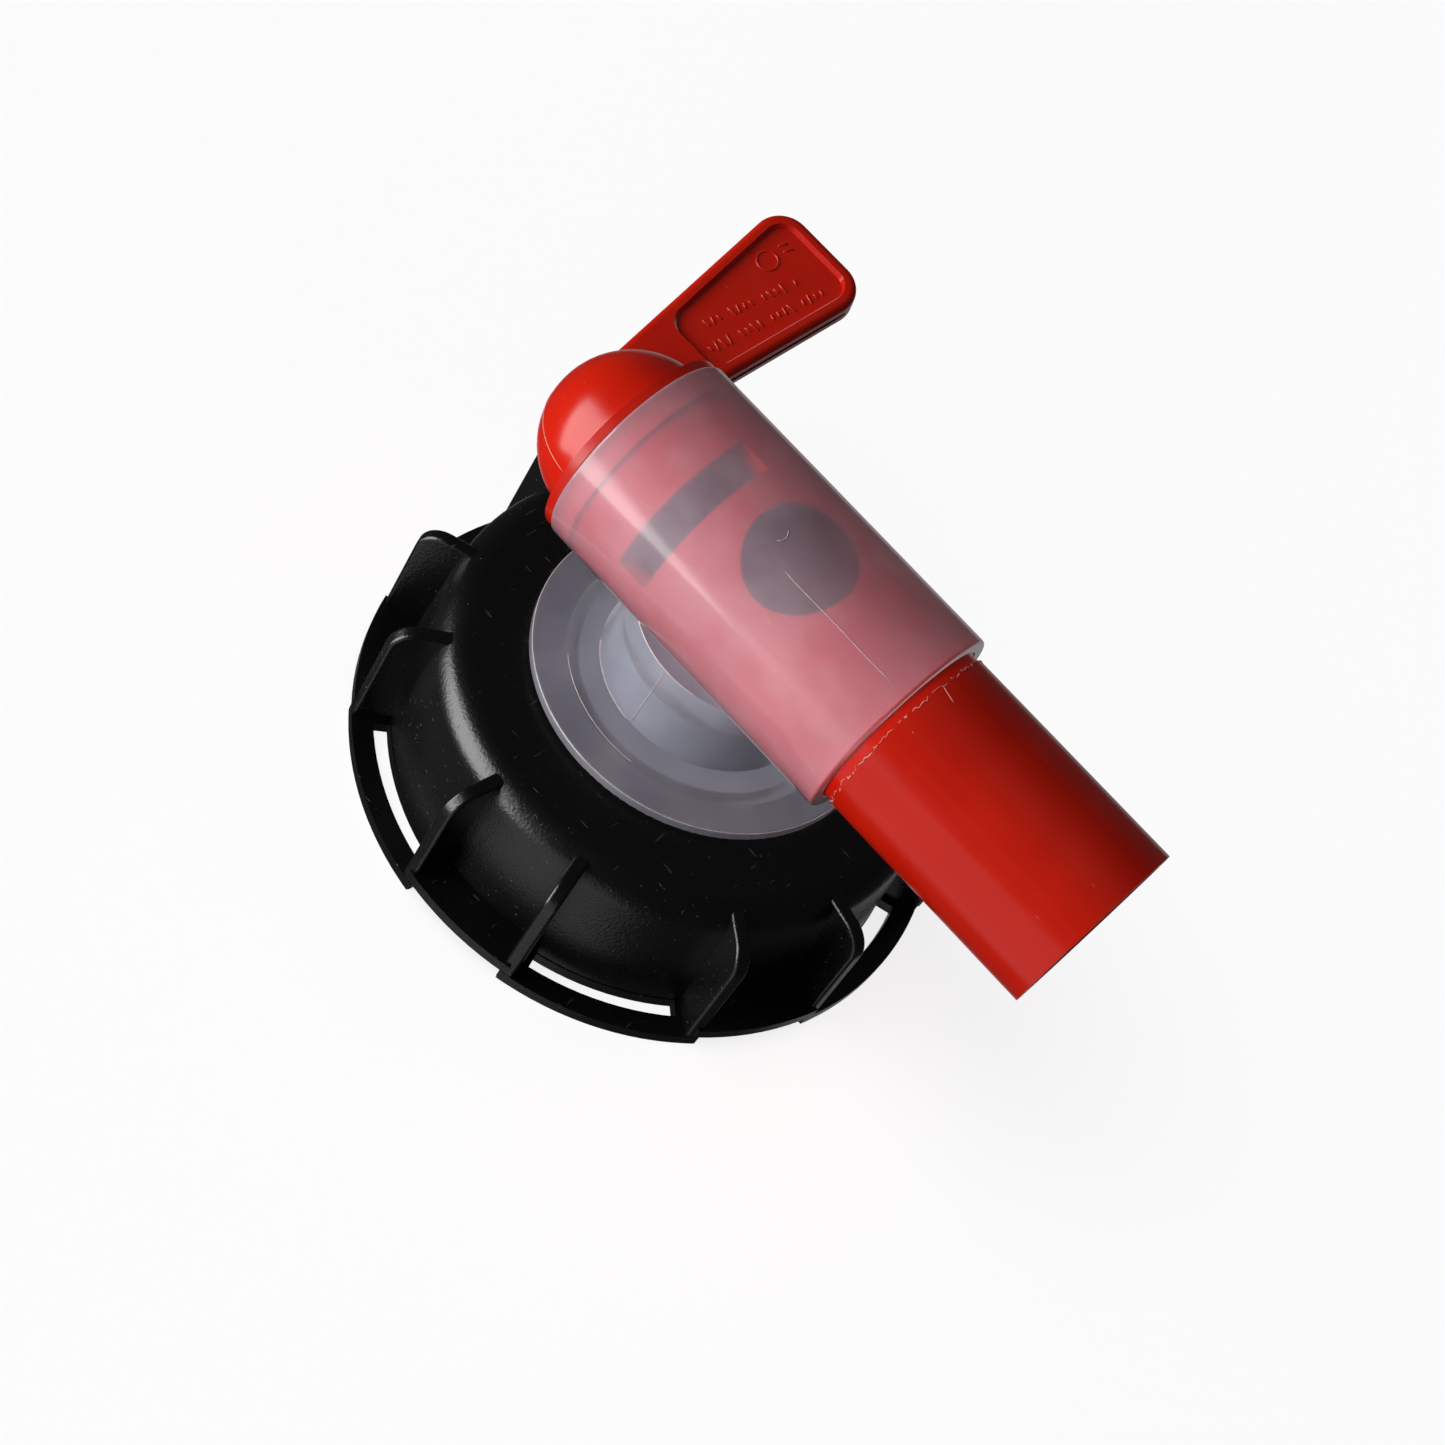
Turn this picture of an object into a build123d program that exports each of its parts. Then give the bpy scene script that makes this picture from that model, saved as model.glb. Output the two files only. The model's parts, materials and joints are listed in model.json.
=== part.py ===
from build123d import *
import math
import os

# Dispensing tap on a winged screw cap for a jerrycan.
# Millimetres. +Z is the cap's axis, pointing away from the container. The origin is
# the centre of the cap's mouth, in the plane that rests on the container or the table.
# The tap's barrel lies along X: the domed end of the plug is at -X, the spout at +X.

# --- driving dimensions -------------------------------------------------------------

# screw cap
cap_height = 20.2
cap_top_thickness = 2.25
mouth_radius = 30.8
lead_in_radius = 31.5
lead_in_height = 3.3
seat_radius = 30.2
seat_height = 15.9
mouth_chamfer = 0.6
skirt_base_radius = 34.1
skirt_top_radius = 32.7
shoulder_radius = 3.8
cap_hole_radius = 18.0

# thread inside the cap
thread_pitch = 4.0
thread_turns = 2.0
thread_start = 4.6
thread_crest_radius = 29.5
thread_root_width = 2.4
thread_crest_width = 1.1
thread_overlap = 0.5

# brim, slots and fins round the cap
bay_count = 6
bay_pitch = 360 / bay_count
slot_bay_centre = 4.3
slot_bay_half = 17.8
slot_half = 15.0
brim_thickness = 1.6
brim_overhang_angle = 1.2
brim_inner_radius = 32.8
slot_brim_radius = 38.9
solid_brim_radius = 39.1
solid_brim_bottom = 2.1
slot_inner_radius = 34.1
slot_outer_radius = 36.2
fin_thickness = 1.8
fin_top = 19.5
fin_foot_radius = 32.0
fin_root_radius = 30.5
fin_corner_radius = 3.4
fin_top_reach = 38.4
fin_edge_round = 0.45

# sealing gasket
gasket_thickness = 1.95
gasket_inner_radius = 19.6
gasket_outer_radius = 30.0
gasket_edge_round = 0.3

# tap body
axis_height = 40.1
barrel_radius = 13.5
barrel_bore_radius = 11.85
barrel_start = -22.4
barrel_end = 22.15
barrel_rim_round = 0.4
flange_radius = 22.4
flange_thickness = 1.5
flange_play = 0.05
flange_rim_round = 0.35
pedestal_base_radius = 13.9
pedestal_top_radius = 13.15
pedestal_top = 32.4
inlet_radius = 12.0
neck_outer_radius = 17.92
neck_inner_radius = 16.3
neck_bottom = 16.05
snap_radius = 18.75
snap_top = cap_height - cap_top_thickness - 0.1
snap_bottom = 16.5
snap_lead = 0.6
snap_hook = 0.3
inlet_ceiling = 27.2
port_length = 22.0
port_width = 17.0
port_corner = 6.0
part_overlap = 0.2
cut_overrun = 1.0
groove_start = -20.4
groove_width = 1.3
groove_depth = 0.45

# plug, with its dome, handle and spout
plug_radius = 11.8
spout_radius = 11.72
relief_start = 21.95
relief_radius = 11.5
spout_step = 23.3
spout_end = 53.7
plug_bore_radius = 10.1
bulkhead_start = -6.4
bulkhead_thickness = 1.5
dome_centre = -23.2
dome_radius = 11.1
dome_wall = 1.8
collar_radius = 13.2
collar_start = -23.55
collar_end = barrel_start - 0.05
collar_root_round = 0.9
bead_play = 0.05
bead_slope = 0.3
partition_offset = 4.6
partition_thickness = 1.3
partition_setback = 0.5
liquid_port_centre = 2.5
liquid_port_radius = 6.7
air_slot_start = -12.4
air_slot_width = 4.4
air_slot_from = 84
air_slot_to = 185

# handle, which stands square to the liquid port
handle_angle = 16
handle_centre = -28.2
handle_root_half = 4.3
handle_end_half = 8.1
handle_reach = 36.7
handle_thickness = 3.9
handle_corner = 3.8
handle_edge_round = 0.9
recess_rim = 1.45
recess_start = 13.8
recess_depth = 0.7
recess_corner = 2.5
recess_wall_slope = 26

os.makedirs("parts", exist_ok=True)


# --- shared shapes ------------------------------------------------------------------

def along_barrel(x):
    """Plane square to the barrel at x, with its local X along +Y and local Y along +Z."""
    return Plane(origin=(x, 0, axis_height), x_dir=(0, 1, 0), z_dir=(1, 0, 0))


def wedge(start, end):
    """Corners of a wedge between two angles, from the centre to well past the widest circle."""
    reach = 2 * slot_brim_radius
    points = [(0, 0)]
    for angle in (start, (start + end) / 2, end):
        points.append((reach * math.cos(math.radians(angle)), reach * math.sin(math.radians(angle))))
    return points


# --- screw cap ----------------------------------------------------------------------

with BuildPart() as fin:
    with BuildSketch(Plane.XZ):
        with BuildLine():
            top_end = (fin_top_reach - fin_corner_radius, fin_top)
            corner_end = (fin_top_reach, fin_top - fin_corner_radius)
            Polyline((slot_brim_radius, 0), (fin_foot_radius, 0), (fin_root_radius, fin_top), top_end)
            RadiusArc(top_end, corner_end, fin_corner_radius)
            Line(corner_end, (slot_brim_radius, 0))
        make_face()
    extrude(amount=fin_thickness / 2, both=True)
    outer_edges = fin.edges().filter_by(Axis.Y, reverse=True).filter_by(
        lambda edge: edge.center().X > fin_foot_radius + 0.5 and edge.center().Z > 1)
    fillet(outer_edges, radius=fin_edge_round)

with BuildPart() as thread_ridge:
    with BuildLine():
        ridge_path = Helix(
            pitch=thread_pitch,
            height=thread_pitch * thread_turns,
            radius=mouth_radius,
            center=(0, 0, thread_start),
        )
    ridge_plane = Plane(origin=ridge_path @ 0, x_dir=(-1, 0, 0), z_dir=ridge_path % 0)
    with BuildSketch(ridge_plane):
        with BuildLine():
            crest = mouth_radius - thread_crest_radius
            Polyline(
                (-thread_overlap, -thread_root_width / 2),
                (crest, -thread_crest_width / 2),
                (crest, thread_crest_width / 2),
                (-thread_overlap, thread_root_width / 2),
                close=True,
            )
        make_face()
    sweep(path=ridge_path, is_frenet=True)

with BuildPart() as screw_cap:
    cap_underside = cap_height - cap_top_thickness
    with BuildSketch(Plane.XZ):
        with BuildLine():
            Polyline(
                (lead_in_radius + mouth_chamfer, 0),
                (skirt_base_radius, 0),
                (skirt_top_radius, cap_height),
                (cap_hole_radius, cap_height),
                (cap_hole_radius, cap_underside),
                (seat_radius, cap_underside),
                (seat_radius, seat_height),
                (mouth_radius, seat_height),
                (mouth_radius, lead_in_height),
                (lead_in_radius, lead_in_height),
                (lead_in_radius, mouth_chamfer),
                close=True,
            )
        make_face()
    revolve(axis=Axis.Z)
    shoulder = screw_cap.edges().filter_by(GeomType.CIRCLE).filter_by(
        lambda edge: abs(edge.radius - skirt_top_radius) < 0.01)
    fillet(shoulder, radius=shoulder_radius)
    brim_half = slot_bay_half + brim_overhang_angle
    with BuildSketch():
        for bay in range(bay_count):
            centre = slot_bay_centre + bay * bay_pitch
            with BuildSketch(mode=Mode.PRIVATE) as slot_bay_brim:
                Polygon(*wedge(centre - brim_half, centre + brim_half), align=None)
                Circle(slot_brim_radius, mode=Mode.INTERSECT)
                Circle(brim_inner_radius, mode=Mode.SUBTRACT)
            add(slot_bay_brim.sketch)
    extrude(amount=brim_thickness)
    # between the slotted bays the brim has no slot and its underside is raised
    with BuildSketch(Plane.XY.offset(solid_brim_bottom)):
        for bay in range(bay_count):
            centre = slot_bay_centre + (bay + 0.5) * bay_pitch
            solid_half = bay_pitch / 2 - slot_bay_half
            with BuildSketch(mode=Mode.PRIVATE) as solid_bay_brim:
                Polygon(*wedge(centre - solid_half, centre + solid_half), align=None)
                Circle(solid_brim_radius, mode=Mode.INTERSECT)
                Circle(brim_inner_radius, mode=Mode.SUBTRACT)
            add(solid_bay_brim.sketch)
    extrude(amount=brim_thickness)
    for bay in range(bay_count):
        centre = slot_bay_centre + bay * bay_pitch
        for side in (-1, 1):
            add(fin.part.rotate(Axis.Z, centre + side * slot_bay_half))
    with BuildSketch():
        for bay in range(bay_count):
            centre = slot_bay_centre + bay * bay_pitch
            with BuildSketch(mode=Mode.PRIVATE) as slot:
                Polygon(*wedge(centre - slot_half, centre + slot_half), align=None)
                Circle(slot_outer_radius, mode=Mode.INTERSECT)
                Circle(slot_inner_radius, mode=Mode.SUBTRACT)
            add(slot.sketch)
    extrude(amount=brim_thickness, mode=Mode.SUBTRACT)
    add(thread_ridge.part)

screw_cap.part.label = "screw_cap"
export_step(screw_cap.part, "parts/screw_cap.step")


# --- gasket -------------------------------------------------------------------------

with BuildPart() as cap_gasket:
    with BuildSketch(Plane.XY.offset(cap_underside - gasket_thickness)):
        Circle(gasket_outer_radius)
        Circle(gasket_inner_radius, mode=Mode.SUBTRACT)
    extrude(amount=gasket_thickness)
    fillet(cap_gasket.edges(), radius=gasket_edge_round)

cap_gasket.part.label = "cap_gasket"
export_step(cap_gasket.part, "parts/cap_gasket.step")


# --- tap body -----------------------------------------------------------------------

with BuildPart() as tap_body:
    flange_bottom = cap_height + flange_play
    flange_top = flange_bottom + flange_thickness
    # flange and snap neck, turned about the cap's axis
    with BuildSketch(Plane.XZ):
        with BuildLine():
            Polyline(
                (0, flange_bottom),
                (neck_inner_radius, flange_bottom),
                (neck_inner_radius, neck_bottom),
                (neck_outer_radius, neck_bottom),
                (snap_radius, snap_bottom + snap_lead),
                (snap_radius, snap_top - snap_hook),
                (neck_outer_radius, snap_top),
                (neck_outer_radius, flange_bottom),
                (flange_radius, flange_bottom),
                (flange_radius, flange_top),
                (0, flange_top),
                close=True,
            )
        make_face()
    revolve(axis=Axis.Z)
    flange_rim = tap_body.edges().filter_by(GeomType.CIRCLE).filter_by(
        lambda edge: abs(edge.radius - flange_radius) < 0.01)
    fillet(flange_rim, radius=flange_rim_round)
    # pedestal, slightly tapered, cut flat at its top
    with BuildSketch(Plane.XY.offset(flange_top - part_overlap)):
        Circle(pedestal_base_radius)
    with BuildSketch(Plane.XY.offset(pedestal_top)):
        Circle(pedestal_top_radius)
    loft()
    # barrel
    with BuildSketch(along_barrel(barrel_start)):
        Circle(barrel_radius)
    extrude(amount=barrel_end - barrel_start)
    barrel_rims = tap_body.edges().filter_by(GeomType.CIRCLE).filter_by(
        lambda edge: abs(edge.radius - barrel_radius) < 0.01 and edge.is_closed)
    fillet(barrel_rims, radius=barrel_rim_round)
    # the plug's bore and its snap groove
    with BuildSketch(along_barrel(barrel_start)):
        Circle(barrel_bore_radius)
    extrude(amount=barrel_end - barrel_start, mode=Mode.SUBTRACT)
    with BuildSketch(along_barrel(groove_start)):
        Circle(barrel_bore_radius + groove_depth)
    extrude(amount=groove_width, mode=Mode.SUBTRACT)
    # inlet, round below and a rounded oblong where it opens into the bore
    with BuildSketch(Plane.XY.offset(neck_bottom - cut_overrun)):
        Circle(inlet_radius)
    extrude(amount=inlet_ceiling - neck_bottom + cut_overrun, mode=Mode.SUBTRACT)
    with BuildSketch(Plane.XY.offset(neck_bottom - cut_overrun)):
        RectangleRounded(port_length, port_width, port_corner)
    extrude(amount=axis_height - neck_bottom + cut_overrun, mode=Mode.SUBTRACT)

tap_body.part.label = "tap_body"
export_step(tap_body.part, "parts/tap_body.step")


# --- plug with dome, handle and spout -----------------------------------------------

port_angle = handle_angle + 90
port_direction = Vector(0, math.cos(math.radians(port_angle)), math.sin(math.radians(port_angle)))
handle_plane = Plane(origin=(handle_centre, 0, axis_height), x_dir=(1, 0, 0), z_dir=port_direction)


def half_width(reach):
    """Half the paddle's width at a distance from the barrel's axis."""
    return handle_root_half + (handle_end_half - handle_root_half) * reach / handle_reach


def paddle_corners(start, end, rim):
    """Corners of the paddle's outline between two distances, drawn in by a rim."""
    return [
        (-half_width(start) + rim, start),
        (-half_width(end) + rim, end),
        (half_width(end) - rim, end),
        (half_width(start) - rim, start),
    ]


with BuildPart() as paddle:
    with BuildSketch(handle_plane.offset(-handle_thickness / 2)) as paddle_outline:
        Polygon(*paddle_corners(0, handle_reach, 0), align=None)
        fillet(paddle_outline.vertices().group_by(Axis.Y)[-1], radius=handle_corner)
    extrude(amount=handle_thickness)
    fillet(paddle.faces().sort_by(Axis(handle_plane.origin, port_direction))[-1].edges(), handle_edge_round)
    fillet(paddle.faces().sort_by(Axis(handle_plane.origin, port_direction))[0].edges(), handle_edge_round)
    for face_side in (-1, 1):
        face_normal = port_direction * face_side
        face_origin = handle_plane.origin + face_normal * handle_thickness / 2
        with BuildSketch(Plane(origin=face_origin, x_dir=(face_side, 0, 0), z_dir=face_normal)) as recess:
            Polygon(*paddle_corners(recess_start, handle_reach - recess_rim, recess_rim), align=None)
            fillet(recess.vertices(), radius=recess_corner)
        extrude(amount=-recess_depth, taper=recess_wall_slope, mode=Mode.SUBTRACT)

with BuildPart() as plug:
    bead_start = groove_start + bead_play
    bead_end = groove_start + groove_width - bead_play
    bead_radius = barrel_bore_radius + groove_depth - bead_play
    dome_end = dome_centre - dome_radius
    dome_meets_collar = math.sqrt(dome_radius ** 2 - (collar_start - dome_centre) ** 2)
    barrel_axis = Axis((0, 0, axis_height), (1, 0, 0))
    turning_plane = Plane(origin=(0, 0, axis_height), x_dir=(1, 0, 0), z_dir=(0, -1, 0))
    # solid outline, turned about the barrel's axis
    with BuildSketch(turning_plane):
        with BuildLine():
            diagonal = dome_radius * math.sin(math.radians(45))
            ThreePointArc((dome_end, 0), (dome_centre - diagonal, diagonal), (collar_start, dome_meets_collar))
            Polyline(
                (collar_start, dome_meets_collar),
                (collar_start, collar_radius),
                (collar_end, collar_radius),
                (collar_end, plug_radius),
                (bead_start, plug_radius),
                (bead_start + bead_slope, bead_radius),
                (bead_end - bead_slope, bead_radius),
                (bead_end, plug_radius),
                (relief_start, plug_radius),
                (relief_start, relief_radius),
                (spout_step, relief_radius),
                (spout_step, spout_radius),
                (spout_end, spout_radius),
                (spout_end, 0),
                (dome_end, 0),
            )
        make_face()
    revolve(axis=barrel_axis)
    collar_root = plug.edges().filter_by(GeomType.CIRCLE).filter_by(
        lambda edge: abs(edge.radius - dome_meets_collar) < 0.01)
    fillet(collar_root, radius=collar_root_round)
    add(paddle.part)
    # air chamber under the dome
    with BuildSketch(turning_plane):
        with BuildLine():
            chamber_radius = dome_radius - dome_wall
            diagonal = chamber_radius * math.sin(math.radians(45))
            ThreePointArc((dome_centre - chamber_radius, 0), (dome_centre - diagonal, diagonal),
                          (dome_centre, chamber_radius))
            Polyline(
                (dome_centre, chamber_radius),
                (bulkhead_start, chamber_radius),
                (bulkhead_start, 0),
                (dome_centre - chamber_radius, 0),
            )
        make_face()
    revolve(axis=barrel_axis, mode=Mode.SUBTRACT)
    # bore of the spout, open at its end
    bulkhead_end = bulkhead_start + bulkhead_thickness
    with BuildSketch(along_barrel(bulkhead_end)):
        Circle(plug_bore_radius)
    extrude(amount=spout_end - bulkhead_end, mode=Mode.SUBTRACT)
    # partition between the liquid passage and the air duct
    partition_centre = -port_direction * (partition_offset + partition_thickness / 2)
    with BuildSketch(along_barrel(bulkhead_end)):
        with Locations((partition_centre.Y, partition_centre.Z)):
            Rectangle(3 * plug_bore_radius, partition_thickness, rotation=handle_angle)
        Circle(plug_bore_radius + part_overlap, mode=Mode.INTERSECT)
    extrude(amount=spout_end - bulkhead_end - partition_setback)
    # way from the air chamber through the bulkhead into the duct
    duct_centre = -port_direction * (partition_offset + partition_thickness + plug_bore_radius / 2)
    with BuildSketch(along_barrel(bulkhead_start - cut_overrun)):
        with Locations((duct_centre.Y, duct_centre.Z)):
            Rectangle(3 * plug_bore_radius, plug_bore_radius, rotation=handle_angle)
        Circle(chamber_radius, mode=Mode.INTERSECT)
    extrude(amount=bulkhead_thickness + 2 * cut_overrun, mode=Mode.SUBTRACT)
    # liquid port
    with BuildSketch(Plane(origin=(liquid_port_centre, 0, axis_height), x_dir=(1, 0, 0), z_dir=port_direction)):
        Circle(liquid_port_radius)
    extrude(amount=plug_radius + cut_overrun, mode=Mode.SUBTRACT)
    # air slot
    with BuildSketch(along_barrel(air_slot_start)):
        Polygon(*wedge(air_slot_from, air_slot_to), align=None)
        Circle(plug_radius + cut_overrun, mode=Mode.INTERSECT)
        Circle(chamber_radius - cut_overrun, mode=Mode.SUBTRACT)
    extrude(amount=air_slot_width, mode=Mode.SUBTRACT)

plug.part.label = "plug"
export_step(plug.part, "parts/plug.step")
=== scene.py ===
import json
import math
import random

import bmesh
import bpy
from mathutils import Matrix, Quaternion, Vector


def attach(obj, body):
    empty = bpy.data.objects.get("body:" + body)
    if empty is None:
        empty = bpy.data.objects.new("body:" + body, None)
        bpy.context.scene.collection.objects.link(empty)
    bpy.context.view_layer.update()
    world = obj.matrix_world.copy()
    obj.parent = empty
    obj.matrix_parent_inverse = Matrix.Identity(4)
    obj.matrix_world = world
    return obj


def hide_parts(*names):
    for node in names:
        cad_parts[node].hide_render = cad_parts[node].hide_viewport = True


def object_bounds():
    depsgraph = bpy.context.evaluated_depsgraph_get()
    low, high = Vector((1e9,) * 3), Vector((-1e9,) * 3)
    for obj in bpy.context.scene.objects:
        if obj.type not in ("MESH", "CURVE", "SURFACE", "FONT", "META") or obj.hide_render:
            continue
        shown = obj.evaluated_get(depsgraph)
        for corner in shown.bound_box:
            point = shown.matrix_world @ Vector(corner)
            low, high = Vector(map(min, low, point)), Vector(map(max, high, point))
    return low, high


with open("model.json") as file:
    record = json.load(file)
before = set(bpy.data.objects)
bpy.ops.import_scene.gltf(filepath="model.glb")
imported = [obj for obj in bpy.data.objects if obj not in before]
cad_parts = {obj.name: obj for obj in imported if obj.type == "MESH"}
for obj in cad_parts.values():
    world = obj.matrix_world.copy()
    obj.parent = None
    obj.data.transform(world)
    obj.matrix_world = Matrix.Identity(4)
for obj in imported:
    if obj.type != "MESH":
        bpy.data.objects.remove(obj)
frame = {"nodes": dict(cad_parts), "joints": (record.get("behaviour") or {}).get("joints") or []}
cad_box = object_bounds()
MM = 0.001


# --- node helpers ---------------------------------------------------------------------

COLOUR_BAND = (0.35, 0.65)  # the part of a noise's range that changes a colour
GLOSS_BAND = (0.3, 0.7)  # the part of a noise's range that changes a gloss
SPECK_CORE = 0.6  # share of a speck's radius that is solid
SCRATCH_EDGE = 0.03  # how fast a scratch fades, in noise


def new_material(name):
    """An empty node material with one Principled shader and object coordinates."""
    material = bpy.data.materials.new(name)
    material.use_nodes = True
    tree = material.node_tree
    shader = tree.nodes["Principled BSDF"]
    place = tree.nodes.new("ShaderNodeTexCoord").outputs["Object"]
    return material, tree, shader, place


def noise(tree, place, scale, detail=3.0, rough=0.55, stretch=(1, 1, 1)):
    """Noise with its scale in cycles per metre, drawn out along an axis by a stretch under 1."""
    mapping = tree.nodes.new("ShaderNodeMapping")
    mapping.inputs["Scale"].default_value = stretch
    tree.links.new(place, mapping.inputs["Vector"])
    node = tree.nodes.new("ShaderNodeTexNoise")
    node.inputs["Scale"].default_value = scale
    node.inputs["Detail"].default_value = detail
    node.inputs["Roughness"].default_value = rough
    tree.links.new(mapping.outputs["Vector"], node.inputs["Vector"])
    return node.outputs["Fac"]


def remap(tree, value, low, high, to_low, to_high):
    """Value between low and high, mapped smoothly to another range."""
    node = tree.nodes.new("ShaderNodeMapRange")
    node.interpolation_type = "SMOOTHSTEP"
    node.inputs["From Min"].default_value = low
    node.inputs["From Max"].default_value = high
    node.inputs["To Min"].default_value = to_low
    node.inputs["To Max"].default_value = to_high
    tree.links.new(value, node.inputs["Value"])
    return node.outputs["Result"]


def mixed(tree, factor, first, second):
    """Two colours mixed by a factor."""
    node = tree.nodes.new("ShaderNodeMix")
    node.data_type = "RGBA"
    tree.links.new(factor, node.inputs["Factor"])
    for socket, colour in ((node.inputs["A"], first), (node.inputs["B"], second)):
        if isinstance(colour, tuple):
            socket.default_value = (*colour, 1)
        else:
            tree.links.new(colour, socket)
    return node.outputs["Result"]


def blended(tree, cloud, first, second):
    """Two colours mixed by a noise."""
    return mixed(tree, remap(tree, cloud, *COLOUR_BAND, 0, 1), first, second)


def joined(tree, kind, first, second):
    """Two values put together by a Math node."""
    node = tree.nodes.new("ShaderNodeMath")
    node.operation = kind
    for socket, value in ((node.inputs[0], first), (node.inputs[1], second)):
        if isinstance(value, (int, float)):
            socket.default_value = value
        else:
            tree.links.new(value, socket)
    return node.outputs["Value"]


def scaled(tree, value, share):
    """A share of a value."""
    return joined(tree, "MULTIPLY", value, share)


def bump(tree, shader, height, depth, strength=1.0):
    """Bump of that depth in metres on the shader's normal."""
    node = tree.nodes.new("ShaderNodeBump")
    node.inputs["Strength"].default_value = strength
    node.inputs["Distance"].default_value = depth
    tree.links.new(height, node.inputs["Height"])
    tree.links.new(node.outputs["Normal"], shader.inputs["Normal"])


def specks(tree, place, scale, size):
    """Small scattered specks: 1 on a speck, 0 elsewhere."""
    node = tree.nodes.new("ShaderNodeTexVoronoi")
    node.inputs["Scale"].default_value = scale
    tree.links.new(place, node.inputs["Vector"])
    return remap(tree, node.outputs["Distance"], size * SPECK_CORE, size, 1, 0)


def scratches(tree, place, scale, stretch, threshold):
    """Fine lines where stretched noise peaks: 1 on a scratch, 0 elsewhere."""
    lines = noise(tree, place, scale, 2, 0.5, stretch)
    return remap(tree, lines, threshold, threshold + SCRATCH_EDGE, 0, 1)


# --- materials ------------------------------------------------------------------------

PLASTIC_IOR = 1.5

RED_DEEP = (0.58, 0.0095, 0.0015)
RED_BRIGHT = (0.64, 0.0130, 0.0025)
RED_SCUFFED = (0.80, 0.16, 0.11)
RED_ROUGHNESS = (0.19, 0.26)
SCUFF_TINT = 0.18
SCUFF_ROUGHNESS = 0.2
FLOW_DEPTH = 0.02 * MM

BLACK_CLEAN = (0.0026, 0.0024, 0.0028)
BLACK_MARKED = (0.30, 0.30, 0.31)
BLACK_ROUGHNESS = (0.25, 0.31)
BLACK_SHEEN = 0.8
DUST_BAND = (0.48, 0.6)
DUST_TINT = 0.5
LINE_TINT = 0.14
MARK_ROUGHNESS = 0.3
GRAIN_DEPTH = 0.08 * MM

NATURAL_DARK = (0.50, 0.51, 0.61)
NATURAL_PALE = (0.56, 0.56, 0.64)
# painted glow: pink painted on the barrel for red light that the plug scatters into the wall
PAINTED_GLOW_DARK = (0.74, 0.55, 0.68)
PAINTED_GLOW_PALE = (0.78, 0.59, 0.70)
PAINTED_GLOW_HEIGHTS = (31.5 * MM, 34.5 * MM)
PAINTED_RIM_GLOW = (0.80, 0.36, 0.42)
RIM_PLACES = (-21.6 * MM, -18.2 * MM)
RIM_CLOUDING = 0.25
CLEARNESS = (0.68, 0.60)
LINE_CLOUDING = 0.15
NATURAL_ROUGHNESS = (0.36, 0.44)
SKIN_ROUGHNESS = 0.12
NATURAL_DEPTH = 0.01 * MM

FOAM_PALE = (0.72, 0.70, 0.66)
FOAM_PORE_SHADE = (0.42, 0.40, 0.37)
PORE_SHADE_TINT = 0.4
PORE_DEPTH = -0.04 * MM

FLOOR_DARK = (0.92, 0.92, 0.92)
FLOOR_PALE = (0.95, 0.95, 0.95)


def red_plastic():
    """Satin red polyethylene: slight colour drift, drawn flow marks, fine scuffs."""
    material, tree, shader, place = new_material("red_plastic")
    flow = noise(tree, place, 420, 2, 0.5, (0.06, 1, 1))
    scuffs = scratches(tree, place, 1500, (0.16, 1, 0.7), 0.73)
    colour = blended(tree, noise(tree, place, 60, 2), RED_DEEP, RED_BRIGHT)
    colour = mixed(tree, scaled(tree, scuffs, SCUFF_TINT), colour, RED_SCUFFED)
    tree.links.new(colour, shader.inputs["Base Color"])
    gloss = remap(tree, flow, *GLOSS_BAND, *RED_ROUGHNESS)
    gloss = joined(tree, "ADD", gloss, scaled(tree, scuffs, SCUFF_ROUGHNESS))
    tree.links.new(gloss, shader.inputs["Roughness"])
    shader.inputs["IOR"].default_value = PLASTIC_IOR
    bump(tree, shader, flow, FLOW_DEPTH, 0.25)
    return material


def black_plastic():
    """Black polyethylene with a soft sheen, light scratches and a little dust."""
    material, tree, shader, place = new_material("black_plastic")
    cloud = noise(tree, place, 90, 4)
    dusty = remap(tree, cloud, *DUST_BAND, 0, 1)
    dust = joined(tree, "MULTIPLY", specks(tree, place, 520, 0.05), dusty)
    lines = scratches(tree, place, 2600, (1, 0.10, 0.5), 0.71)
    hairs = scratches(tree, place, 2200, (0.12, 0.8, 1), 0.72)
    lines = joined(tree, "MAXIMUM", lines, hairs)
    marks = joined(tree, "MAXIMUM", scaled(tree, dust, DUST_TINT), scaled(tree, lines, LINE_TINT))
    colour = mixed(tree, marks, BLACK_CLEAN, BLACK_MARKED)
    tree.links.new(colour, shader.inputs["Base Color"])
    gloss = remap(tree, cloud, *GLOSS_BAND, *BLACK_ROUGHNESS)
    gloss = joined(tree, "ADD", gloss, scaled(tree, marks, MARK_ROUGHNESS))
    tree.links.new(gloss, shader.inputs["Roughness"])
    shader.inputs["IOR"].default_value = PLASTIC_IOR
    shader.inputs["Specular IOR Level"].default_value = BLACK_SHEEN
    grain = joined(tree, "ADD", noise(tree, place, 2600, 3), scaled(tree, lines, 0.8))
    bump(tree, shader, grain, GRAIN_DEPTH, 0.6)
    return material


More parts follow.
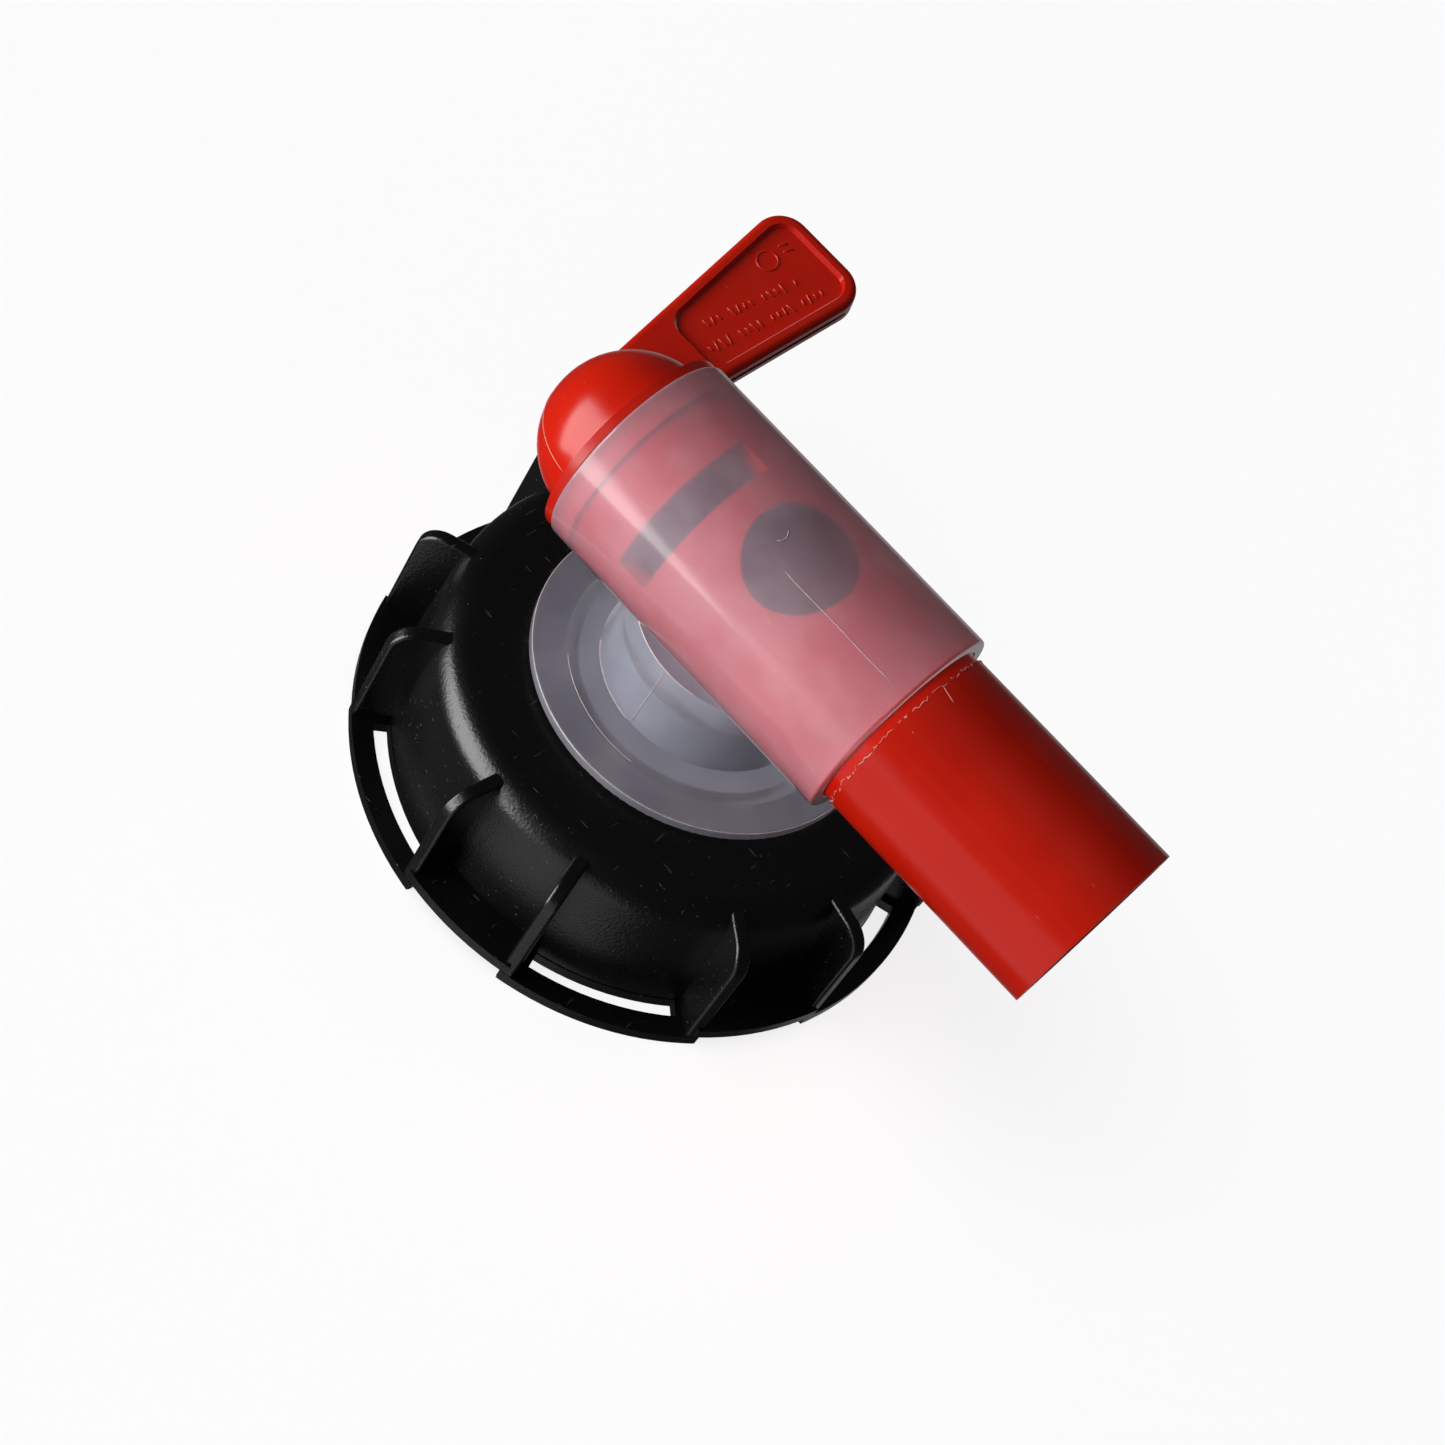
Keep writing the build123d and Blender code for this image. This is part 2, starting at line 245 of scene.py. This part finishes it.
def milky_plastic():
    """Natural polyethylene: a milky see-through wall, cloudier in places, with fine scratches.

    Red light that the plug scatters into the wall is painted into the barrel's colour as a pink
    glow, most at its dome end.
    """
    material, tree, shader, place = new_material("milky_plastic")
    cloud = noise(tree, place, 140, 3)
    lines = scratches(tree, place, 2200, (0.10, 1, 1), 0.73)
    split = tree.nodes.new("ShaderNodeSeparateXYZ")
    tree.links.new(place, split.inputs["Vector"])
    # painted red glow: pink from these heights up, strongest at the dome end
    near_plug = remap(tree, split.outputs["Z"], *PAINTED_GLOW_HEIGHTS, 0, 1)
    at_end = remap(tree, split.outputs["X"], *RIM_PLACES, 1, 0)
    rim = joined(tree, "MULTIPLY", near_plug, at_end)
    clean = blended(tree, cloud, NATURAL_DARK, NATURAL_PALE)
    painted_glow = blended(tree, cloud, PAINTED_GLOW_DARK, PAINTED_GLOW_PALE)
    colour = mixed(tree, rim, mixed(tree, near_plug, clean, painted_glow), PAINTED_RIM_GLOW)
    tree.links.new(colour, shader.inputs["Base Color"])
    clear = remap(tree, cloud, *GLOSS_BAND, *CLEARNESS)
    clear = joined(tree, "SUBTRACT", clear, scaled(tree, rim, RIM_CLOUDING))
    clear = joined(tree, "SUBTRACT", clear, scaled(tree, lines, LINE_CLOUDING))
    tree.links.new(clear, shader.inputs["Transmission Weight"])
    gloss = remap(tree, cloud, *GLOSS_BAND, *NATURAL_ROUGHNESS)
    tree.links.new(gloss, shader.inputs["Roughness"])
    shader.inputs["IOR"].default_value = PLASTIC_IOR
    shader.inputs["Coat Weight"].default_value = 1.0
    shader.inputs["Coat Roughness"].default_value = SKIN_ROUGHNESS
    bump(tree, shader, noise(tree, place, 500, 2), NATURAL_DEPTH, 0.3)
    return material


def wetted_wall():
    """The bore's wall, which the plug fills: nothing shows where plastic meets plastic."""
    material = bpy.data.materials.new("wetted_wall")
    material.use_nodes = True
    tree = material.node_tree
    tree.nodes.remove(tree.nodes["Principled BSDF"])
    clear = tree.nodes.new("ShaderNodeBsdfTransparent")
    tree.links.new(clear.outputs["BSDF"], tree.nodes["Material Output"].inputs["Surface"])
    return material


def pale_rubber():
    """Soft pale sealing foam with fine pores, painted darker in the pores as shade."""
    material, tree, shader, place = new_material("pale_rubber")
    pores = specks(tree, place, 1500, 0.3)
    colour = mixed(tree, scaled(tree, pores, PORE_SHADE_TINT), FOAM_PALE, FOAM_PORE_SHADE)
    tree.links.new(colour, shader.inputs["Base Color"])
    shader.inputs["Roughness"].default_value = 0.75
    bump(tree, shader, pores, PORE_DEPTH, 0.6)
    return material


def drifting_plain(name, darker, tone, scale, rough):
    """A plain matt colour with a slight drift of tone."""
    material, tree, shader, place = new_material(name)
    colour = blended(tree, noise(tree, place, scale, 2), darker, tone)
    tree.links.new(colour, shader.inputs["Base Color"])
    shader.inputs["Roughness"].default_value = rough
    return material


def pale_plastic(name, tone, rough):
    """Pale plastic colour with a slight drift: torn flash, and painted highlights on seams and
    edges.
    """
    return drifting_plain(name, tuple(channel * 0.8 for channel in tone), tone, 900, rough)


def matt_backdrop():
    """Plain white studio floor."""
    material, tree, shader, place = new_material("matt_backdrop")
    tone = mixed(tree, noise(tree, place, 3, 1), FLOOR_DARK, FLOOR_PALE)
    tree.links.new(tone, shader.inputs["Base Color"])
    shader.inputs["Roughness"].default_value = 0.9
    shader.inputs["Specular IOR Level"].default_value = 0.1
    return material


RED = red_plastic()
BLACK = black_plastic()
MILKY = milky_plastic()
PALE = pale_rubber()
# dark red for the handle's parting line: painted shade of the seam
PAINTED_SEAM_SHADE = drifting_plain("seam_painted_shade", (0.05, 0.003, 0.002), (0.12, 0.006, 0.004), 700, 0.6)
# pale colour for the spout's real torn flash, and a painted highlight on the dome's seam
TORN_FLASH_AND_SEAM_HIGHLIGHT = pale_plastic("torn_flash_and_seam_highlight", (0.80, 0.36, 0.31), 0.5)
PAINTED_HIGHLIGHT_LINE = pale_plastic("painted_highlight_line", (0.74, 0.66, 0.66), 0.3)

for node, material in (("plug", RED), ("screw_cap", BLACK), ("cap_gasket", PALE)):
    shape = frame["nodes"][node]
    shape.data.materials.clear()
    shape.data.materials.append(material)


# --- tap body -------------------------------------------------------------------------

AXIS_HEIGHT = frame["joints"][1]["pos_m"][2]
BORE_RADIUS = 11.85 * MM
BORE_SLACK = 0.5 * MM
SHELL_SLOT = 0
BORE_SLOT = 1

body_mesh = frame["nodes"]["tap_body"].data.copy()
body_mesh.name = "body_shell"
body_mesh.materials.clear()
body_mesh.materials.append(MILKY)
body_mesh.materials.append(wetted_wall())
for face in body_mesh.polygons:
    corners = (body_mesh.vertices[v].co for v in face.vertices)
    reach = max(math.hypot(corner.y, corner.z - AXIS_HEIGHT) for corner in corners)
    face.material_index = BORE_SLOT if reach < BORE_RADIUS + BORE_SLACK else SHELL_SLOT
body_shell = bpy.data.objects.new("body_shell", body_mesh)
bpy.context.scene.collection.objects.link(body_shell)
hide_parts("tap_body")
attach(body_shell, "tap_body")
# the see-through shell shades nothing, and the cap's top doesn't mirror the barrel or plug
body_shell.visible_shadow = False
body_shell.visible_glossy = False
frame["nodes"]["plug"].visible_glossy = False


# --- ridges: helpers ------------------------------------------------------------------

TUBE_SIDES = 8
TIP_SHARE = 0.45  # a ridge's radius at its ends, as a share of its full radius
HANDLE_ANGLE = 16.0  # degrees above the level
HANDLE_CENTRE = -28.2  # along the barrel, mm


def around_barrel(x, radius, angle):
    """Point in metres on a circle about the barrel's axis. Angles run from +Y toward +Z."""
    turn = math.radians(angle)
    height = AXIS_HEIGHT + radius * MM * math.sin(turn)
    return Vector((x * MM, radius * MM * math.cos(turn), height))


def around_cap(radius, angle, height):
    """Point in metres on a circle about the cap's axis. Angles run from +X toward +Y."""
    turn = math.radians(angle)
    return Vector((radius * MM * math.cos(turn), radius * MM * math.sin(turn), height * MM))


def on_handle(offset, reach, height):
    """Point in metres on the handle: along the barrel, out from its axis, off its mid plane."""
    turn = math.radians(HANDLE_ANGLE)
    out = Vector((0, math.cos(turn), math.sin(turn)))
    off = Vector((0, -out.z, out.y))
    start = Vector(((HANDLE_CENTRE + offset) * MM, 0, AXIS_HEIGHT))
    return start + (out * reach + off * height) * MM


def swept(path, count):
    """Evenly spaced values from 0 to 1, mapped by a function to points."""
    return [path(step / (count - 1)) for step in range(count)]


def cap_arc(radius, start, sweep, height, count=40):
    """Points along an arc about the cap's axis."""
    return swept(lambda t: around_cap(radius, start + sweep * t, height), count)


def add_ridge(shape, points, radius, closed=False):
    """A thin round ridge along points, with tapered ends unless it is closed."""
    rings = []
    last = len(points) - 1
    side = None
    for index, point in enumerate(points):
        ahead = points[(index + 1) % len(points)] if closed or index < last else point
        behind = points[index - 1] if closed or index > 0 else point
        along = (ahead - behind).normalized()
        if side is None:
            side = along.orthogonal()
        side = (side - along * side.dot(along)).normalized()
        other = along.cross(side)
        at_tip = not closed and index in (0, last)
        size = radius * MM * (TIP_SHARE if at_tip else 1.0)
        ring = []
        for step in range(TUBE_SIDES):
            turn = 2 * math.pi * step / TUBE_SIDES
            outward = side * math.cos(turn) + other * math.sin(turn)
            ring.append(shape.verts.new(point + outward * size))
        rings.append(ring)
    pairs = list(zip(rings, rings[1:]))
    if closed:
        pairs.append((rings[-1], rings[0]))
    for first, second in pairs:
        for step in range(TUBE_SIDES):
            after = (step + 1) % TUBE_SIDES
            shape.faces.new((first[step], first[after], second[after], second[step]))
    if not closed:
        shape.faces.new(reversed(rings[0]))
        shape.faces.new(rings[-1])


def ridge_piece(name, lines, material, body):
    """One piece made of ridges. Each line is (points, radius in mm, closed)."""
    shape = bmesh.new()
    for points, radius, closed in lines:
        add_ridge(shape, points, radius, closed)
    bmesh.ops.recalc_face_normals(shape, faces=shape.faces)
    mesh = bpy.data.meshes.new(name)
    shape.to_mesh(mesh)
    shape.free()
    for face in mesh.polygons:
        face.use_smooth = True
    mesh.materials.append(material)
    piece = bpy.data.objects.new(name, mesh)
    bpy.context.scene.collection.objects.link(piece)
    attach(piece, body)
    return piece


draws = random.Random(7)


# --- raised marks on the handle's two faces -------------------------------------------

RECESS_FLOOR = 1.25  # off the handle's mid plane, mm
DASH_TAPER = 0.12
DASH_RADIUS = 0.15
DASH_LENGTHS = (0.9, 1.25, 1.5)
DASH_LEANS = (78, 90, 104)
DASH_GROUP = 5  # one dash in five is left out, as a gap
FIRST_GAP = 3
DASH_ROWS = (  # first dash, last dash (offset, reach), number of places
    ((-1.3, 17.6), (1.2, 30.2), 15),
    ((1.6, 15.6), (4.2, 31.8), 19),
)
RING_OFFSET = -3.1
RING_REACH = 29.6
RING_RADIUS = 1.35
RING_RIDGE = 0.16
RING_STEPS = 33
TICK_OFFSETS = (-0.5, 0.5)
TICK_REACH = 3.1
TICK_LENGTH = 1.3
TICK_LEAN = 20
BAR_OFFSETS = (-1.6, 0.0, 1.6)
BAR_REACH = 25.0
BAR_LENGTH = 9.0
BAR_LEAN = 4
BAR_RADIUS = 0.18


def dash(middle_offset, middle_reach, length, lean, height):
    """Points of a short raised dash across the handle."""
    turn = math.radians(lean)
    half = length / 2
    return [
        on_handle(middle_offset + math.sin(turn) * t, middle_reach + math.cos(turn) * t, height)
        for t in (-half, -half + DASH_TAPER, half - DASH_TAPER, half)
    ]


def ring_point(share):
    """Point on the raised ring, by its share of a turn."""
    turn = 2 * math.pi * share
    offset = RING_OFFSET + RING_RADIUS * math.cos(turn)
    return on_handle(offset, RING_REACH + RING_RADIUS * math.sin(turn), RECESS_FLOOR)


mark_lines = []
for row, (start, end, count) in enumerate(DASH_ROWS):
    for index in range(count):
        if index % DASH_GROUP == FIRST_GAP + row:
            continue
        share = index / (count - 1)
        offset = start[0] + (end[0] - start[0]) * share
        reach = start[1] + (end[1] - start[1]) * share
        length = draws.choice(DASH_LENGTHS)
        points = dash(offset, reach, length, draws.choice(DASH_LEANS), RECESS_FLOOR)
        mark_lines.append((points, DASH_RADIUS, False))
mark_lines.append((swept(ring_point, RING_STEPS)[:-1], RING_RIDGE, True))
for tick in TICK_OFFSETS:
    points = dash(RING_OFFSET + tick, RING_REACH + TICK_REACH, TICK_LENGTH, TICK_LEAN, RECESS_FLOOR)
    mark_lines.append((points, DASH_RADIUS, False))
for offset in BAR_OFFSETS:
    points = dash(offset, BAR_REACH, BAR_LENGTH, BAR_LEAN, -RECESS_FLOOR)
    mark_lines.append((points, BAR_RADIUS, False))
ridge_piece("handle_marks", mark_lines, RED, "plug")


# --- parting lines round the handle's edge and over the dome --------------------------

DOME_CENTRE = -23.2
DOME_RADIUS = 11.1
DOME_SEAM_ANGLE = 176
DOME_SEAM_ENDS = (12, 84)  # degrees from the dome's pole
DOME_SEAM_STEPS = 24
DOME_SEAM_RADIUS = 0.06
HANDLE_ROOT_HALF = 4.3
HANDLE_END_HALF = 8.1
HANDLE_REACH = 36.7
SEAM_START = 10.5
SEAM_END = 32.9
SEAM_STEPS = 12
SEAM_RADIUS = 0.14
END_SEAM_HALF = 4.0
END_SEAM_STEPS = 8


def dome_point(share):
    """Point on the dome's parting line, from near its pole to near its edge."""
    first, last = DOME_SEAM_ENDS
    turn = math.radians(first + (last - first) * share)
    x = DOME_CENTRE - DOME_RADIUS * math.cos(turn)
    return around_barrel(x, DOME_RADIUS * math.sin(turn), DOME_SEAM_ANGLE)


def handle_edge(side):
    """Points up one edge of the handle at its mid thickness."""
    points = []
    for step in range(SEAM_STEPS):
        reach = SEAM_START + (SEAM_END - SEAM_START) * step / (SEAM_STEPS - 1)
        half = HANDLE_ROOT_HALF + (HANDLE_END_HALF - HANDLE_ROOT_HALF) * reach / HANDLE_REACH
        points.append(on_handle(side * half, reach, 0))
    return points


def handle_end(share):
    """Point across the handle's end at its mid thickness."""
    return on_handle(-END_SEAM_HALF + 2 * END_SEAM_HALF * share, HANDLE_REACH, 0)


seam_lines = [(handle_edge(side), SEAM_RADIUS, False) for side in (-1, 1)]
seam_lines.append((swept(handle_end, END_SEAM_STEPS), SEAM_RADIUS, False))
# the handle's seam ridges are coloured dark: painted shade along the parting line
ridge_piece("handle_seam", seam_lines, PAINTED_SEAM_SHADE, "plug")
# the dome's parting line is drawn pale: a painted highlight along the seam
dome_lines = [(swept(dome_point, DOME_SEAM_STEPS), DOME_SEAM_RADIUS, False)]
ridge_piece("dome_seam", dome_lines, TORN_FLASH_AND_SEAM_HIGHLIGHT, "plug")


# --- torn flash and a scratch where the spout leaves the barrel -----------------------

SPOUT_RADIUS = 11.72
FLASH_LENGTHS = (1.2, 2.2, 3.5, 7.0, 12.0)  # degrees
FLASH_GAPS = (0.5, 3.5)  # degrees
FLASH_PLACES = (23.3, 23.65)
FLASH_RAG = 0.2
FLASH_POINTS = 7
FLASH_RADII = (0.03, 0.08)

flash_lines = []
angle = 0.0
while angle < 360:
    length = draws.choice(FLASH_LENGTHS)
    gap = draws.uniform(*FLASH_GAPS)
    place = draws.uniform(*FLASH_PLACES)
    rag = [draws.uniform(-FLASH_RAG, FLASH_RAG) for _ in range(FLASH_POINTS)]
    end_angle = min(angle + length, 360)
    points = []
    for step in range(FLASH_POINTS):
        at = angle + (end_angle - angle) * step / (FLASH_POINTS - 1)
        points.append(around_barrel(place + rag[step], SPOUT_RADIUS, at))
    flash_lines.append((points, draws.uniform(*FLASH_RADII), False))
    angle += length + gap
scratch = [around_barrel(23.5 + 0.45 * step, SPOUT_RADIUS, 98 + 0.5 * step) for step in range(6)]
speck = [around_barrel(25.1, SPOUT_RADIUS, 128.2), around_barrel(25.25, SPOUT_RADIUS, 129.2)]
flash_lines.append((scratch, 0.05, False))
flash_lines.append((speck, 0.08, False))
ridge_piece("spout_flash", flash_lines, TORN_FLASH_AND_SEAM_HIGHLIGHT, "plug")


# --- moulding lines and edges on the natural body, pale as painted highlights ---------

BARREL_RADIUS = 13.5
FLANGE_TOP = 21.75
PEDESTAL_TOP = 32.4
BARREL_LINE_START = 2.8
BARREL_LINE_LENGTH = 17.5
BARREL_LINE_STEPS = 12
BARREL_LINE_ANGLE = 120.5
BARREL_LINE_WOBBLE = 0.12


def curved_mark(share):
    """Point on a small curved mark on top of the barrel."""
    return around_barrel(-0.5 + 0.5 * math.sin(3 * share), BARREL_RADIUS, 105 + 8 * share)


def pedestal_line(share):
    """Point on the upright line up the pedestal's near side."""
    return around_cap(13.9 - 0.72 * share, -92, FLANGE_TOP + 0.3 + 10.0 * share)


barrel_line = []
for step in range(BARREL_LINE_STEPS):
    x = BARREL_LINE_START + BARREL_LINE_LENGTH * step / (BARREL_LINE_STEPS - 1)
    wobble = BARREL_LINE_WOBBLE * math.sin(step)
    barrel_line.append(around_barrel(x, BARREL_RADIUS, BARREL_LINE_ANGLE + wobble))
rim_line = cap_arc(22.31, 0, -360, FLANGE_TOP - 0.08, 97)[:-1]
# the pale colour on these ridges is a painted highlight along the mould line, arcs and rim
body_lines = [
    (barrel_line, 0.045, False),
    (swept(curved_mark, 8), 0.045, False),
    (cap_arc(13.12, -132, 60, PEDESTAL_TOP - 0.05), 0.10, False),
    (cap_arc(13.93, -142, 48, FLANGE_TOP), 0.07, False),
    (cap_arc(18.0, -130, 52, FLANGE_TOP), 0.05, False),
    (swept(pedestal_line, 10), 0.05, False),
    (rim_line, 0.08, True),
]
ridge_piece("body_lines", body_lines, PAINTED_HIGHLIGHT_LINE, "tap_body")


# --- stage ----------------------------------------------------------------------------

LIT_POINT = Vector((0, 0, 35 * MM))
BOX_DISTANCE = 0.7
SUN_DISTANCE = 1.0
FLOOR_HALF = 40.0
WHITE = (1, 1, 1, 1)
WORLD_LIGHT = 0.035
FLOOR_LIGHT = 2.75
SHADOW_LIGHT = 0.45
SHADOW_SOFTNESS = 50  # degrees across
SOFT_BOXES = (  # name, azimuth, elevation, sides by distance, radiance, turn, mirrored
    ("window", -132.5, 9, 0.88, 1.0, 5.1, 31, True),
    ("card", -84, -24, 0.9, 1.3, 0.42, 8, True),
    ("overhead", -140, 76, 1.0, 1.0, 0.27, 0, False),
    ("back_card", 92, -44, 1.3, 0.9, 0.27, 0, True),
    ("back_fill", 85, -10, 1.2, 0.9, 0.65, 0, False),
)


def direction(azimuth, elevation):
    """Unit vector. Azimuth is from +X toward +Y, as on a plan."""
    flat = math.cos(math.radians(elevation))
    return Vector((
        flat * math.cos(math.radians(azimuth)),
        flat * math.sin(math.radians(azimuth)),
        math.sin(math.radians(elevation)),
    ))


def add_light(name, kind, azimuth, elevation, distance, energy, turn=0.0):
    """A light that looks at the tap, turned about its own axis."""
    data = bpy.data.lights.new(name, kind)
    data.energy = energy
    light = bpy.data.objects.new(name, data)
    bpy.context.scene.collection.objects.link(light)
    way = direction(azimuth, elevation)
    light.location = LIT_POINT + way * distance
    light.rotation_mode = "QUATERNION"
    aimed = (-way).to_track_quat("-Z", "Y")
    light.rotation_quaternion = aimed @ Quaternion((0, 0, 1), math.radians(turn))
    light.visible_camera = False
    return light


def soft_box(name, azimuth, elevation, wide, high, radiance, turn, mirrored):
    """A rectangular light of even radiance, whose sides are shares of its distance."""
    width = wide * BOX_DISTANCE
    height = high * BOX_DISTANCE
    energy = radiance * math.pi * width * height
    light = add_light(name, "AREA", azimuth, elevation, BOX_DISTANCE, energy, turn)
    light.data.shape = "RECTANGLE"
    light.data.size = width
    light.data.size_y = height
    light.light_linking.receiver_collection = all_but_floor
    light.visible_glossy = mirrored


bpy.ops.mesh.primitive_plane_add(size=2 * FLOOR_HALF, location=(0, 0, cad_box[0].z))
floor = bpy.context.object
floor.name = "studio_floor"
floor.data.materials.append(matt_backdrop())
floor.visible_glossy = False
floor.visible_diffuse = False
floor.visible_shadow = False
floor.visible_transmission = False

floor_only = bpy.data.collections.new("floor_only")
floor_only.objects.link(floor)
all_but_floor = bpy.data.collections.new("all_but_floor")
all_but_floor.objects.link(floor)
all_but_floor.collection_objects[0].light_linking.link_state = "EXCLUDE"

for box in SOFT_BOXES:
    soft_box(*box)

floor_light = add_light("floor_light", "SUN", 0, 90, SUN_DISTANCE, FLOOR_LIGHT)
floor_light.light_linking.receiver_collection = floor_only
floor_light.light_linking.blocker_collection = floor_only
shadow_light = add_light("shadow_light", "SUN", -130, 62, SUN_DISTANCE, SHADOW_LIGHT)
shadow_light.data.angle = math.radians(SHADOW_SOFTNESS)
shadow_light.light_linking.receiver_collection = floor_only

world = bpy.data.worlds.new("studio")
world.use_nodes = True
world.node_tree.nodes["Background"].inputs["Color"].default_value = WHITE
world.node_tree.nodes["Background"].inputs["Strength"].default_value = WORLD_LIGHT
bpy.context.scene.world = world


# --- camera ---------------------------------------------------------------------------

CAMERA_TARGET = Vector((5.6, -2.4, 20)) * MM
CAMERA_AZIMUTH = 15.2  # degrees from -Y toward +X
CAMERA_ELEVATION = 50.4
CAMERA_DISTANCE = 305 * MM
CAMERA_ROLL = 35.0
CAMERA_LENS = 63.2
CAMERA_SENSOR = 36
CAMERA_NEAR = 10 * MM

back = direction(CAMERA_AZIMUTH - 90, CAMERA_ELEVATION)
camera_data = bpy.data.cameras.new("camera")
camera_data.sensor_width = CAMERA_SENSOR
camera_data.lens = CAMERA_LENS
camera_data.clip_start = CAMERA_NEAR
camera = bpy.data.objects.new("camera", camera_data)
bpy.context.scene.collection.objects.link(camera)
camera.location = CAMERA_TARGET + back * CAMERA_DISTANCE
camera.rotation_mode = "QUATERNION"
upright = (-back).to_track_quat("-Z", "Y")
camera.rotation_quaternion = upright @ Quaternion((0, 0, 1), math.radians(CAMERA_ROLL))
bpy.context.scene.camera = camera
bpy.context.scene.view_settings.view_transform = "Standard"
